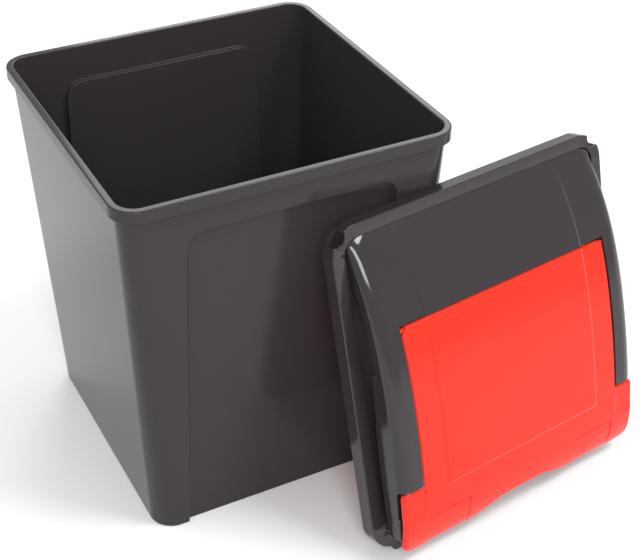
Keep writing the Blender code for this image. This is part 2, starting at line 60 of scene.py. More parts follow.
def added(name):    # names the primitive that was just added and puts its place in its mesh
    piece = bpy.context.object
    piece.name = piece.data.name = name
    alone(piece)
    bpy.ops.object.transform_apply(location=True, rotation=True, scale=True)
    return piece


def edit(piece):
    alone(piece)
    bpy.ops.object.mode_set(mode="EDIT")
    bpy.ops.mesh.select_all(action="SELECT")


def leave():
    bpy.ops.object.mode_set(mode="OBJECT")


def pick(kind, test):    # selects the vertices, edges or faces that pass the test
    bpy.ops.mesh.select_mode(type=kind)
    bpy.ops.mesh.select_all(action="DESELECT")
    mesh = bmesh.from_edit_mesh(bpy.context.object.data)
    found = {"VERT": mesh.verts, "EDGE": mesh.edges, "FACE": mesh.faces}[kind]
    for item in found:
        if test(item):
            item.select_set(True)
    bmesh.update_edit_mesh(bpy.context.object.data)


def move(shape):    # moves each selected vertex to where shape says
    mesh = bmesh.from_edit_mesh(bpy.context.object.data)
    for vertex in mesh.verts:
        if vertex.select:
            vertex.co = shape(vertex.co)
    bmesh.update_edit_mesh(bpy.context.object.data)


def modify(piece, kind, **settings):
    alone(piece)
    step = piece.modifiers.new(kind.title(), kind)
    for key, value in settings.items():
        setattr(step, key, value)
    bpy.ops.object.modifier_apply(modifier=step.name)


def cut(piece, other, operation="DIFFERENCE"):
    modify(piece, "BOOLEAN", object=other, operation=operation, solver="EXACT")
    bpy.data.objects.remove(other)


def outward(piece):
    edit(piece)
    bpy.ops.mesh.remove_doubles(threshold=tiny / 4)
    bpy.ops.mesh.normals_make_consistent(inside=False)
    leave()


def softEdges(piece, width, angle=32, segments=3):
    modify(piece, "BEVEL", width=width, segments=segments, limit_method="ANGLE",
           angle_limit=math.radians(angle), use_clamp_overlap=True, harden_normals=False)
    alone(piece)
    bpy.ops.object.shade_smooth_by_angle(angle=math.radians(angle))
    modify(piece, "WEIGHTED_NORMAL", keep_sharp=True, weight=60)


# Rounded outlines are (half width, half depth, corner radius, height, middle y)

def roundedPlate(name, outline, steps):
    halfX, halfY, radius, height, middle = outline
    bpy.ops.mesh.primitive_plane_add(size=2, location=(0, middle, height))
    bpy.context.object.scale = (halfX, halfY, 1)
    piece = added(name)
    edit(piece)
    bpy.ops.mesh.bevel(offset=radius, segments=steps, affect="VERTICES", profile=0.5)
    return piece


def nextOutline(old, new):    # extrudes the selected outline and fits it to the next one
    bpy.ops.mesh.extrude_region_move()

    def fitted(place):
        turned = []
        for value, axis in ((place.x, 0), (place.y - old[4], 1)):
            beyond = (abs(value) - old[axis] + old[2]) * new[2] / old[2]
            turned.append(math.copysign(new[axis] - new[2] + beyond, value))
        return Vector((turned[0], turned[1] + new[4], new[3]))

    move(fitted)


def grownThrough(outlines):
    for old, new in zip(outlines, outlines[1:]):
        nextOutline(old, new)


def quarter(across, up, radius, start, end, steps):    # places on an arc, as (across, up)
    angles = [math.radians(start + (end - start) * k / steps) for k in range(steps + 1)]
    return [(across + radius * math.cos(a), up + radius * math.sin(a)) for a in angles]


def sheetOf(name, columns, rows, point):    # a grid whose vertices go to point(column, row)
    acrossCount, alongCount = len(columns) - 1, len(rows) - 1
    bpy.ops.mesh.primitive_grid_add(x_subdivisions=acrossCount, y_subdivisions=alongCount, size=2)
    piece = added(name)
    edit(piece)
    move(lambda place: Vector(point(columns[round((place.x + 1) / 2 * acrossCount)],
                                    rows[round((place.y + 1) / 2 * alongCount)])))
    return piece


def ramp(value, low, high):    # the share from low to high
    return min(max((value - low) / (high - low), 0), 1)


def smooth(share):    # eases a share from 0 to 1
    return share * share * (3 - 2 * share)


def spread(low, high, steps):
    return [low + (high - low) * k / steps for k in range(steps + 1)]


# Tub

tub = {
    "height": 0.350, "rimHalf": (0.1513, 0.1482), "rimRadius": 0.0232, "rimWidth": 0.0066,
    "rimDepth": 0.0110, "rimWall": 0.0022, "rimFlare": 0.0003, "rimEdge": 0.0013, "edgeSteps": 5,
    "wall": 0.0020, "baseHalf": (0.1320, 0.1334), "baseRadius": 0.0219, "baseEdge": 0.0018,
    "floor": 0.0055, "floorFillet": 0.0050, "cornerSteps": 14,
    "panelTop": 0.3150, "panelHalfTop": 0.0940, "panelHalfBase": 0.1023,
    "panelRadius": 0.0140, "panelSteps": 10, "panelRecess": 0.0049,
    "footWidth": 0.0080, "footDepth": 0.0030, "footRadius": 0.0100, "footSteps": 8, "footRib": 0.0080,
    "edge": 0.0007, "overrun": 0.0100,    # overrun: how far a cutter goes past what it cuts
}


def wallOutline(height, inset):
    share = height / (tub["height"] - tub["rimDepth"])
    top = tub["rimWidth"] - tub["wall"]
    halfX, halfY = (base + (rim - top - base) * share
                    for base, rim in zip(tub["baseHalf"], tub["rimHalf"]))
    radius = tub["baseRadius"] + (tub["rimRadius"] - top - tub["baseRadius"]) * share
    return halfX - inset, halfY - inset, radius - inset, height, 0


def rimOutline(inset, height):
    return (*(half - inset for half in tub["rimHalf"]), tub["rimRadius"] - inset, height, 0)


def tubOutlines():
    base, edge, high, steps = tub["baseEdge"], tub["rimEdge"], tub["height"], tub["edgeSteps"]
    (halfX, halfY), radius = tub["baseHalf"], tub["baseRadius"]
    found = []
    for across, up in quarter(-base, base, base, -90, 0, steps - 1):
        found.append((halfX + across, halfY + across, radius + across, up, 0))
    underRim, rimBottom = high - tub["rimWall"], high - tub["rimDepth"]
    found += [wallOutline(rimBottom, 0), rimOutline(tub["rimWidth"] - tub["wall"], underRim),
              rimOutline(tub["rimWall"], underRim), rimOutline(tub["rimWall"] - tub["rimFlare"], rimBottom),
              rimOutline(-tub["rimFlare"], rimBottom)]
    found += [rimOutline(across, up) for across, up in quarter(edge, high - edge, edge, 180, 90, steps)]
    inner = tub["rimWidth"] - edge
    found += [rimOutline(across, up) for across, up in quarter(inner, high - edge, edge, 90, 0, steps)]
    found.append(wallOutline(rimBottom, tub["wall"]))
    fillet = tub["floorFillet"]
    for across, up in quarter(fillet, tub["floor"] + fillet, fillet, 180, 270, steps):
        found.append(wallOutline(up, tub["wall"] + across))
    return found


def panelCutter(name, side, grow, bottom, outer, inner):
    top, radius = tub["panelTop"] + grow, tub["panelRadius"] + grow

    def half(height):
        slope = (tub["panelHalfTop"] - tub["panelHalfBase"]) / tub["panelTop"]
        return tub["panelHalfBase"] + slope * height + grow

    def onWall(depth):
        return lambda place: Vector((place.x, side * (wallOutline(place.z, 0)[1] - depth), place.z))

    bpy.ops.mesh.primitive_plane_add(size=2, rotation=(math.radians(90), 0, 0))
    piece = added(name)
    edit(piece)
    move(lambda place: Vector((math.copysign(half(top if place.z > 0 else bottom), place.x), 0,
                               top if place.z > 0 else bottom)))
    pick("VERT", lambda vertex: vertex.co.z > bottom + radius)
    bpy.ops.mesh.bevel(offset=radius, segments=tub["panelSteps"], affect="VERTICES", profile=0.5)
    bpy.ops.mesh.select_all(action="SELECT")
    move(onWall(outer))
    bpy.ops.mesh.extrude_region_move()
    move(onWall(inner))
    leave()
    outward(piece)
    return piece


tubPiece = roundedPlate("bin_tub", tubOutlines()[0], tub["cornerSteps"])
grownThrough(tubOutlines())
leave()
outward(tubPiece)
for side in (-1, 1):
    cut(tubPiece, panelCutter("inside", side, tub["wall"], tub["floor"] / 2, tub["wall"] / 2,
                              tub["panelRecess"] + tub["wall"]), "UNION")
    cut(tubPiece, panelCutter("outside", side, 0, -tub["overrun"], -tub["overrun"], tub["panelRecess"]))
pocketX = (tub["baseHalf"][0] - tub["footWidth"] - tub["footRib"] / 2) / 2
pocketY = (tub["baseHalf"][1] - tub["panelRecess"] - tub["footWidth"] - tub["footRib"] / 2) / 2
for sideX in (-1, 1):
    for sideY in (-1, 1):
        shape = (pocketX, pocketY, tub["footRadius"], -tub["overrun"], 0)
        pocket = roundedPlate("pocket", shape, tub["footSteps"])
        grownThrough([shape, (*shape[:3], tub["footDepth"], 0)])
        bpy.ops.mesh.select_all(action="SELECT")
        bpy.ops.transform.translate(value=(sideX * (tub["footRib"] / 2 + pocketX),
                                           sideY * (tub["footRib"] / 2 + pocketY), 0))
        leave()
        outward(pocket)
        cut(tubPiece, pocket)
softEdges(tubPiece, tub["edge"])
print("tub modelled:", len(tubPiece.data.polygons), "faces")


# Lid, in its own frame: x across, y to its rear, z out of its top

lid = {
    "clearance": 0.00045, "skirtWall": 0.0020, "skirtHeight": 0.0146, "skirtEdge": 0.0010,
    "flange": 0.0020, "stepGap": 0.0004, "stepWall": 0.0016, "stepDepth": 0.0030,
    "wall": 0.0020, "wallInset": 0.0096, "rearLedge": 0.0117, "frontLedge": 0.0047,
    "openingRadius": 0.0120, "notchReach": 0.0145, "notchRadius": 0.0080, "notchFloor": 0.0036,
    "notchHalf": 0.02, "notchTop": 0.03, "roundSteps": 8, "wallRows": 40,
    "lipReach": 0.0047, "lipEnd": 0.0200, "lipRadius": 0.0035, "lipTrim": 0.01, "seatGap": 0.0003,
    "grooveRoom": 0.0034,    # room over the front wall for the flap's crease
    "cornerSteps": 12, "edgeSteps": 5, "edge": 0.0005, "tilt": 75.3, "yaw": 8.6,
}
lidHalf = [half + lid["clearance"] + lid["skirtWall"] for half in reversed(tub["rimHalf"])]
lidRadius = tub["rimRadius"] + lid["clearance"] + lid["skirtWall"]
inRim = tub["rimWidth"] + lid["stepGap"] + lid["stepWall"]
stepHalf = [half - inRim for half in reversed(tub["rimHalf"])]
stepRadius = tub["rimRadius"] - inRim
stepFloor = lid["skirtHeight"] - lid["stepDepth"]
frameRear = stepHalf[1] - lid["rearLedge"]
frameFront = -stepHalf[1] + lid["frontLedge"]
frameWall = stepHalf[0] - lid["wallInset"]

cover = {
    "wall": 0.0022, "inset": 0.0036, "flare": 0.0040, "rise": 0.0386, "span": 0.1742,
    "arris": 0.0095, "arrisAcross": 0.0135, "leastArris": 0.0008, "openingStrip": 0.0010,
    "lipStart": 0.0347, "lipRise": 0.0222, "lipRiseLength": 0.0800, "lipRiseBend": 0.85,
    "lipStep": 0.0070, "lipStepLength": 0.0024, "lipFall": 0.0045, "lipFallLength": 0.0900,
    "stripSetback": 0.0607, "cheekSetback": 0.0080, "cheekTop": 0.0406, "cheekFall": 0.0045,
    "cheekEdge": 0.003, "cheekSlack": 0.0032, "rimDepth": 0.0090, "boreLength": 0.26, "edge": 0.0005,
    "raisedHalf": 0.0875, "raisedHeight": 0.0012, "raisedSlope": 0.0034, "raisedFade": 0.0250,
    "raisedEnd": 0.0497, "raisedSteps": 5,
    "middleColumns": (0, 0.022, 0.044, 0.066, 0.080), "sideColumns": (0.098, 0.108), "arrisSteps": 10,
    "cheekRows": 10, "openingRows": 44, "topRows": 24, "leastRow": 0.0008,
    "rearAngles": (20, 35, 48, 60, 70, 78, 84, 88, 90),
}
flap = {
    "sideInset": 0.0205, "sideGap": 0.0010, "wall": 0.0022, "sink": 0.0004, "crownSetback": 0.0927,
    "cornerRadius": 0.0050, "tailReach": 0.0015, "overhang": -0.0062, "lipHeight": 0.0378,
    "bends": ((0.4313, 0.0603), (0.8032, 0.1205)), "facingStep": 0.004,
    "earGap": 0.0015, "earInset": 0.0020, "earRadius": 0.0045, "earBottom": 0.0090, "earEdge": 0.0030,
    "earReturn": 0.0050, "earDrop": 0.0008, "earDropLength": 0.012, "earSlope": 0.0022,
    "facetHeight": 0.0328,    # facetProfile: how far below the crease, how deep
    "facetProfile": ((0, 0), (0.0010, 0.0021), (0.0016, 0.0021), (0.0028, 0.0014), (0.0330, 0.0006)),
    "facetSlope": 0.0012, "facetOuter": 0.1115, "facetEdge": 0.0004,
    "gripHalf": 0.0640, "gripEase": 0.0470, "gripRise": 0.0112, "gripRamp": 0.0010, "gripEdge": 0.0008,
    "hingeSetback": 0.0812, "hingeCover": 0.0012, "pin": 0.0025, "pinGap": 0.0003, "pinProud": 0.0008,
    "rodSink": 0.0006, "rodSetback": 0.0030, "openingGap": 0.0008, "edge": 0.00045,
    "middleColumns": (0, 0.017, 0.072, 0.080), "sideColumns": (0.096, 0.102, 0.1125), "gripColumns": 6,
    "earColumns": (0.4, 0.7, 1), "edgeSteps": 6, "curlEnd": 205, "curlRows": 20, "tailRows": 36,
    "bodyRows": 8, "earRows": 14, "lipRows": 16, "earAngles": (90, 72, 58, 45, 32, 16, 0),
}
coverHalfWidth = stepHalf[0] - cover["inset"]
coverRear = stepHalf[1] - lid["seatGap"]
coverFront = -stepHalf[1] + cover["cheekSetback"]
stripFront = -stepHalf[1] + cover["stripSetback"]
crownY = stepHalf[1] - cover["span"]
flapHalf = coverHalfWidth - flap["sideInset"]
openingHalf = flapHalf + flap["sideGap"]
hingeY = stepHalf[1] - flap["hingeSetback"]
tailY = hingeY + flap["tailReach"]
hingeDepth = flap["hingeCover"] + flap["pin"] + flap["pinGap"]
openingRear = hingeY + hingeDepth + cover["raisedHeight"] + flap["openingGap"]


def domeHeight(y):
    share = (y - crownY) / cover["span"]
    return lid["skirtHeight"] + cover["rise"] * (1 - (share**2 + share**4) / 2)


hingeZ = domeHeight(hingeY) - hingeDepth


def onLid(piece):    # from the lid's own frame to where the lid leans
    yaw, tilt = (math.radians(lid[key]) for key in ("yaw", "tilt"))
    turn = Matrix.Rotation(yaw, 4, "Z") @ Matrix.Rotation(tilt, 4, "X")
    hinge = next(joint for joint in frame["joints"] if joint["name"] == "flap_hinge")
    place = Vector(hinge["pos_m"]) - turn @ Vector((0, hingeY, hingeZ))
    piece.data.transform(Matrix.Translation(place) @ turn)
    piece.data.update()


def lidOutline(inset, height):
    return lidHalf[0] - inset, lidHalf[1] - inset, lidRadius - inset, height, 0


def stepOutline(grow, height):
    return stepHalf[0] + grow, stepHalf[1] + grow, stepRadius + grow, height, 0


def frameOutlines():
    edge, top, steps = lid["skirtEdge"], lid["skirtHeight"], lid["edgeSteps"]
    opening = (frameWall - lid["wall"], (frameRear - frameFront) / 2, lid["openingRadius"])
    middle = (frameRear + frameFront) / 2
    underFlange, underStep = top - lid["flange"], stepFloor - lid["flange"]
    found = [lidOutline(0, 0)]
    found += [lidOutline(across, up) for across, up in quarter(edge, top - edge, edge, 180, 90, steps)]
    found += [stepOutline(0, top), stepOutline(0, stepFloor), (*opening, stepFloor, middle),
              (*opening, underStep, middle), stepOutline(lid["stepWall"], underStep),
              stepOutline(lid["stepWall"], underFlange), lidOutline(lid["skirtWall"], underFlange),
              lidOutline(lid["skirtWall"], 0)]
    return found + found[:1]


def uprightWall(name, low, high, rows, foot, top):    # a wall along y between two x, up to top(y)
    piece = sheetOf(name, ("foot", "top"), rows,
                    lambda column, y: (low, y, foot if column == "foot" else top(y)))
    bpy.ops.mesh.select_all(action="SELECT")
    bpy.ops.mesh.extrude_region_move(TRANSFORM_OT_translate={"value": (high - low, 0, 0)})
    leave()
    outward(piece)
    return piece


def boxOf(name, low, high):
    middle = [(a + b) / 2 for a, b in zip(low, high)]
    bpy.ops.mesh.primitive_cube_add(size=1, location=middle)
    bpy.context.object.scale = [b - a for a, b in zip(low, high)]
    return added(name)


def cheekTop(y):
    return cover["cheekTop"] - cover["cheekFall"] * (stripFront - y) / (stripFront - coverFront)


def underArris(y):
    across, up = cover["arrisAcross"] - cover["wall"], cover["arris"] - cover["wall"]
    beyond = frameWall - coverHalfWidth + cover["arrisAcross"]
    drop = up * (1 - math.sqrt(1 - (beyond / across)**2))
    return domeHeight(y) - cover["wall"] - drop - lid["seatGap"]


def flapPoint(share):    # -1 at the tail, 0 at the crown, 1 at the lip's edge
    crown = -stepHalf[1] + flap["crownSetback"]
    if share <= 0:
        y = crown + (tailY - crown) * -share
        return Vector((y, domeHeight(y) - flap["sink"] * (1 + share)))
    top = Vector((crown, domeHeight(crown) - flap["sink"]))
    end = Vector((-lidHalf[1] - flap["overhang"], flap["lipHeight"]))
    points = (top, *(top + (end - top) * Vector(bend) for bend in flap["bends"]), end)
    left = 1 - share
    weights = (left**3, 3 * share * left**2, 3 * share**2 * left, share**3)
    return sum((point * weight for point, weight in zip(points, weights)), Vector((0, 0)))


def flapFacing(share):
    step = flap["facingStep"]
    along = (flapPoint(max(share - step, -1)) - flapPoint(min(share + step, 1))).normalized()
    return Vector((-along.y, along.x))


def flapSeat(y):    # how high a wall under the closed flap can be
    low, high = 0, 1
    for _ in range(halvings):
        share = (low + high) / 2
        place = flapPoint(share) - flapFacing(share) * (flap["wall"] + lid["seatGap"])
        low, high = (share, high) if place.x > y else (low, share)
    return place.y


framePiece = roundedPlate("lid_rim_frame", frameOutlines()[0], lid["cornerSteps"])
bpy.ops.mesh.delete(type="ONLY_FACE")
bpy.ops.mesh.select_all(action="SELECT")
grownThrough(frameOutlines())
leave()
outward(framePiece)
foot = stepFloor - lid["flange"] / 2
sideRows = [frameFront, *spread(stripFront, frameRear - lid["wall"], lid["wallRows"])]
for side in (-1, 1):
    low, high = sorted((side * frameWall, side * (frameWall - lid["wall"])))
    cut(framePiece, uprightWall("side", low, high, sideRows, foot,
                                lambda y: cheekTop(y) if y < stripFront + tiny else underArris(y)), "UNION")
frontTop = flapSeat(frameFront - lid["wall"]) - lid["grooveRoom"]
cut(framePiece, boxOf("front", (-frameWall, frameFront - lid["wall"], foot),
                      (frameWall, frameFront, frontTop)), "UNION")
lipTop = lid["skirtHeight"] - lid["skirtEdge"]
lipShape = (lidHalf[0] - lid["lipEnd"], lid["lipReach"], lid["lipRadius"],
            lipTop - lid["flange"], -lidHalf[1])
lipPiece = roundedPlate("lip", lipShape, lid["roundSteps"])
grownThrough([lipShape, (*lipShape[:3], lipTop, lipShape[4])])
leave()
outward(lipPiece)
cut(lipPiece, boxOf("trim", (-lidHalf[0], -lidHalf[1] + lid["skirtWall"] / 2, 0),
                    (lidHalf[0], -lidHalf[1] + lid["lipTrim"], lid["skirtHeight"])))
cut(framePiece, lipPiece, "UNION")
for side in (-1, 1):
    middleX, middleY = (half - lid["notchReach"] + lid["notchHalf"] for half in lidHalf)
    shape = (lid["notchHalf"], lid["notchHalf"], lid["notchRadius"], lid["notchFloor"], 0)
    notch = roundedPlate("notch", shape, lid["roundSteps"])
    grownThrough([shape, (*shape[:3], lid["notchTop"], 0)])
    bpy.ops.mesh.select_all(action="SELECT")
    bpy.ops.transform.translate(value=(side * middleX, middleY, 0))
    leave()
    outward(notch)
    cut(framePiece, notch)
softEdges(framePiece, lid["edge"])
onLid(framePiece)
print("lid frame modelled:", len(framePiece.data.polygons), "faces")


# Cover

def coverLip(y):
    seat = stepFloor + lid["seatGap"]
    start = stepHalf[1] - cover["lipStart"]
    along = (start - y) / cover["lipRiseLength"]
    if along <= 0:
        return seat
    if along < 1:
        return seat + cover["lipRise"] * math.sin(math.pi / 2 * along)**cover["lipRiseBend"]
    beyond = start - cover["lipRiseLength"] - y
    down = min(max(beyond - cover["lipStepLength"], 0) / cover["lipFallLength"], 1)
    drop = cover["lipStep"] * min(beyond / cover["lipStepLength"], 1) + cover["lipFall"] * smooth(down)
    return seat + cover["lipRise"] - drop


planRadius = stepRadius - lid["seatGap"]
planInner = [half - lid["seatGap"] - planRadius for half in stepHalf]


def coverHalf(y):    # flares to the front, and follows the frame's rounded step at its corners
    flared = coverHalfWidth + cover["flare"] * (coverRear - y) / (coverRear - coverFront)
    beyond = min(max(abs(y) - planInner[1], 0), planRadius)
    return min(flared, planInner[0] + math.sqrt(planRadius**2 - beyond**2))


def raisedShare(x):    # 1 on the raised middle panel, 0 beside it, with soft creases
    return smooth(ramp(cover["raisedHalf"] + cover["raisedSlope"] - abs(x), 0, cover["raisedSlope"]))


slopeEnds = (cover["raisedHalf"], cover["raisedHalf"] + cover["raisedSlope"])
flatColumns = [*cover["middleColumns"], *spread(*slopeEnds, cover["raisedSteps"]), *cover["sideColumns"],
               openingHalf]
rightColumns = [("flat", x) for x in flatColumns]
rightColumns += [("arris", share) for share in spread(1, 0, cover["arrisSteps"])]
rightColumns += [("side", share) for share in spread(1, 0, cover["arrisSteps"])[1:]]
coverColumns = [(kind, value, -1) for kind, value in reversed(rightColumns[1:])]
coverColumns += [(kind, value, 1) for kind, value in rightColumns]
rearRows = [planInner[1] + planRadius * math.sin(math.radians(angle)) for angle in cover["rearAngles"]]
lipStepY = stepHalf[1] - cover["lipStart"] - cover["lipRiseLength"]
lipStepRows = [lipStepY, lipStepY - cover["lipStepLength"]]
openingRows = [y for y in spread(stripFront, openingRear, cover["openingRows"])[1:]
               if min(abs(y - row) for row in lipStepRows) > cover["leastRow"]]
cheekEnd = stripFront - cover["cheekEdge"]
coverRows = [*spread(coverFront, cheekEnd, cover["cheekRows"]), stripFront,
             *sorted([*openingRows, *lipStepRows]),
             *spread(openingRear, planInner[1], cover["topRows"])[1:], *rearRows]


def coverPoint(column, y):
    kind, value, side = column
    top = domeHeight(y)
    depth = max(top - coverLip(y), cover["wall"])
    radius = min(cover["arris"], depth - cover["leastArris"])
    half = coverHalf(y)
    across = min(cover["arrisAcross"], half - openingHalf - cover["openingStrip"])
    if y < stripFront:    # in front of the strips only the low cheeks go on
        radius = across = top - cheekTop(y)
    if kind == "side":
        return side * half, y, top - depth + (depth - radius) * value
    if kind == "arris":
        angle = math.pi / 2 * value
        return side * (half - across + across * math.cos(angle)), y, top - radius + radius * math.sin(angle)
    lift = cover["raisedHeight"] * min((coverRear - y) / cover["raisedFade"], 1) if y > stripFront else 0
    return side * value, y, top + lift * raisedShare(value)


coverPiece = sheetOf("lid_arched_cover", coverColumns, coverRows, coverPoint)


def inOpening(item):    # its vertices are all in the waste opening or on its edge
    return all(abs(v.co.x) < openingHalf + tiny and v.co.y < openingRear + tiny for v in item.verts)


pick("FACE", inOpening)
bpy.ops.mesh.delete(type="FACE")
pick("FACE", lambda face: all(v.co.y < stripFront + tiny for v in face.verts)
     and max(v.co.z - cheekTop(min(v.co.y, cheekEnd)) for v in face.verts) > cover["cheekSlack"])
bpy.ops.mesh.delete(type="FACE")
pick("EDGE", lambda edge: edge.is_boundary and inOpening(edge))
bpy.ops.mesh.extrude_region_move(TRANSFORM_OT_translate={"value": (0, 0, cover["wall"] - cover["rimDepth"])})
leave()
modify(coverPiece, "SOLIDIFY", thickness=cover["wall"], offset=-1, use_even_offset=True)
outward(coverPiece)
bpy.ops.object.select_all(action="DESELECT")
bpy.ops.mesh.primitive_cylinder_add(vertices=32, radius=flap["pin"] + flap["pinGap"],
                                    depth=cover["boreLength"],
                                    location=(0, hingeY, hingeZ), rotation=(0, math.radians(90), 0))
cut(coverPiece, added("bore"))
softEdges(coverPiece, cover["edge"])
onLid(coverPiece)
print("cover modelled:", len(coverPiece.data.polygons), "faces")


# Flap

earHalf = coverHalfWidth + cover["flare"] - flap["earInset"]
earRear = stripFront - flap["earGap"]
raisedEnd = -stepHalf[1] + cover["raisedEnd"]
lipEnd = flapPoint(1)


def shareWhere(test):    # the share from crown to lip where test turns false
    low, high = 0, 1
    for _ in range(halvings):
        share = (low + high) / 2
        low, high = (share, high) if test(flapPoint(share)) else (low, share)
    return share


creaseShare = shareWhere(lambda place: (place - lipEnd).length > flap["facetHeight"])
gripShare = shareWhere(lambda place: (place - lipEnd).length > flap["gripRise"])
earShares = [shareWhere(lambda place, y=y: place.x > y) for y in
             [earRear - flap["earRadius"] * (1 - math.sin(math.radians(a))) for a in flap["earAngles"]]]
raisedShares = [shareWhere(lambda place, y=y: place.x > y) for y in
                spread(raisedEnd, raisedEnd + cover["raisedSlope"], cover["raisedSteps"])]
facetShares = [shareWhere(lambda place, far=far: (place - lipEnd).length > flap["facetHeight"] - far)
               for far, _ in flap["facetProfile"][1:-1]]
hingeShare = -(hingeY - flapPoint(0).x) / (flapPoint(-1).x - flapPoint(0).x)
curlStart = math.degrees(math.atan2(flapFacing(hingeShare).x, flapFacing(hingeShare).y))
flapRows = [("curl", angle) for angle in spread(flap["curlEnd"], curlStart, flap["curlRows"])[:-1]]
flapRows += [("sheet", share) for share in spread(hingeShare, 0, flap["tailRows"])[:-1]]
frontShares = [*spread(0, earShares[0], flap["bodyRows"])[:-1], *earShares,
               *spread(earShares[-1], creaseShare, flap["earRows"])[1:], *raisedShares,
               *facetShares, *spread(facetShares[-1], 1, flap["lipRows"])[1:]]
flapRows += [("sheet", share) for share in sorted(frontShares)]


def earWidth(place):
    left = (place - lipEnd).length
    width = earHalf
    if left < flap["earBottom"]:
        width -= flap["earBottom"] - math.sqrt(flap["earBottom"]**2 - (flap["earBottom"] - left)**2)
    beyond = min(max(place.x - earRear + flap["earRadius"], 0), flap["earRadius"])
    return width - flap["earRadius"] + math.sqrt(flap["earRadius"]**2 - beyond**2)


def facetDepth(below):    # how deep a facet is below its crease
    for (start, shallow), (end, deep) in zip(flap["facetProfile"], flap["facetProfile"][1:]):
        if below < end:
            return shallow + (deep - shallow) * (below - start) / (end - start)
    return deep


grip = (flap["gripHalf"], flap["gripHalf"] + flap["gripRamp"])
facetInner = flap["facetOuter"] - flap["facetSlope"]
flapFlat = sorted([*flap["middleColumns"], *flap["sideColumns"],
                   *spread(grip[0] - flap["gripEase"], grip[0], flap["gripColumns"]),
                   grip[0] - flap["gripEdge"], grip[1], *spread(*slopeEnds, cover["raisedSteps"]),
                   facetInner - flap["facetEdge"], facetInner, flap["facetOuter"],
                   flapHalf - flap["earSlope"] / 2])
flapRight = [("flat", x) for x in flapFlat] + [("edge", 0)]
earSlopeShare = flap["earSlope"] / (earHalf - flap["earEdge"] - flapHalf)
flapRight += [("ear", share) for share in (earSlopeShare, *flap["earColumns"])]
flapRight += [("round", share) for share in spread(0, 1, flap["edgeSteps"])[1:]]
flapRight += [("return", 0.5), ("return", 1)]
flapColumns = [(kind, value, -1) for kind, value in reversed(flapRight[1:])]
flapColumns += [(kind, value, 1) for kind, value in flapRight]


def tailHalf(y):
    beyond = min(max(y - tailY + flap["cornerRadius"], 0), flap["cornerRadius"])
    return flapHalf - flap["cornerRadius"] + math.sqrt(flap["cornerRadius"]**2 - beyond**2)


def sectionPlace(column, wide, tail):    # across the flap, and how far below its top
    kind, value, side = column
    edge = flap["earEdge"]
    if kind == "flat":
        return min(value, tail), 0
    if kind == "edge":
        return tail, 0
    if kind == "ear":
        return flapHalf + (wide - edge - flapHalf) * value, 0
    if kind == "round":
        angle = math.pi / 2 * value
        return wide - edge + edge * math.sin(angle), edge * (1 - math.cos(angle))
    return wide, edge + (flap["earReturn"] - edge) * value


def flapPlace(column, row):
    kind, value = row
    if kind == "curl":
        x = sectionPlace(column, earHalf, tailHalf(hingeY + hingeDepth * math.sin(math.radians(value))))[0]
        radius = hingeDepth + cover["raisedHeight"] * raisedShare(x)
        angle = math.radians(value)
        return column[2] * x, hingeY + radius * math.sin(angle), hingeZ + radius * math.cos(angle)
    share = value
    x = sectionPlace(column, earHalf, tailHalf(flapPoint(share).x))[0]
    if share > creaseShare:    # the grip's edge is higher, and its rows draw together
        beside = smooth(ramp(x, grip[0] - flap["gripEase"], grip[0]))
        lastShare = 1 - (1 - gripShare) * (1 - beside)
        share = creaseShare + (share - creaseShare) * (lastShare - creaseShare) / (1 - creaseShare)
    place, facing = flapPoint(share), flapFacing(share)
    x, drop = sectionPlace(column, earWidth(place), tailHalf(place.x))
    ends = smooth(ramp(place.x, raisedEnd, raisedEnd + cover["raisedSlope"]))
    lift = cover["raisedHeight"] * raisedShare(x) * ends
    below = flap["facetHeight"] - (place - lipEnd).length
    if share > creaseShare:    # sunk facets between the creases, the grip and the lower edge
        drop += min(ramp(x, *grip), 1 - ramp(x, facetInner, flap["facetOuter"])) * facetDepth(below)
    behind = flap["earEdge"] - min(max(earRear - place.x, 0), flap["earEdge"])
    earDrop = flap["earDrop"] * ramp(-below, 0, flap["earDropLength"])
    earDrop += flap["earEdge"] - math.sqrt(flap["earEdge"]**2 - behind**2)
    drop += earDrop * ramp(x, flapHalf - flap["earSlope"] / 2, flapHalf + flap["earSlope"])
    place = place + facing * (lift - drop)
    return column[2] * x, place.x, place.y


flapPiece = sheetOf("red_flap", flapColumns, flapRows, flapPlace)
earEdge = flapPoint(earShares[0]).x
pick("FACE", lambda face: max(abs(v.co.x) for v in face.verts) > flapHalf + tiny
     and max(v.co.y for v in face.verts) > earEdge + tiny)
bpy.ops.mesh.delete(type="FACE")
leave()
outward(flapPiece)
edit(flapPiece)
bpy.ops.mesh.dissolve_degenerate(threshold=tiny / 2)
leave()
modify(flapPiece, "SOLIDIFY", thickness=flap["wall"], offset=-1, use_even_offset=True)
outward(flapPiece)
rods = []
beadShape = (hingeDepth - flap["rodSink"], flapHalf - flap["cornerRadius"] - flap["rodSetback"])
pinShape = (flap["pin"], openingHalf + cover["wall"] + flap["pinProud"])
for radius, half in (beadShape, pinShape):
    bpy.ops.object.select_all(action="DESELECT")
    bpy.ops.mesh.primitive_cylinder_add(vertices=48, radius=radius, depth=2 * half,
                                        location=(0, hingeY, hingeZ), rotation=(0, math.radians(90), 0))
    rods.append(added("rod"))
cut(rods[0], rods[1], "UNION")
cut(flapPiece, rods[0], "UNION")
softEdges(flapPiece, flap["edge"])
onLid(flapPiece)
print("flap modelled:", len(flapPiece.data.polygons), "faces")


# Materials

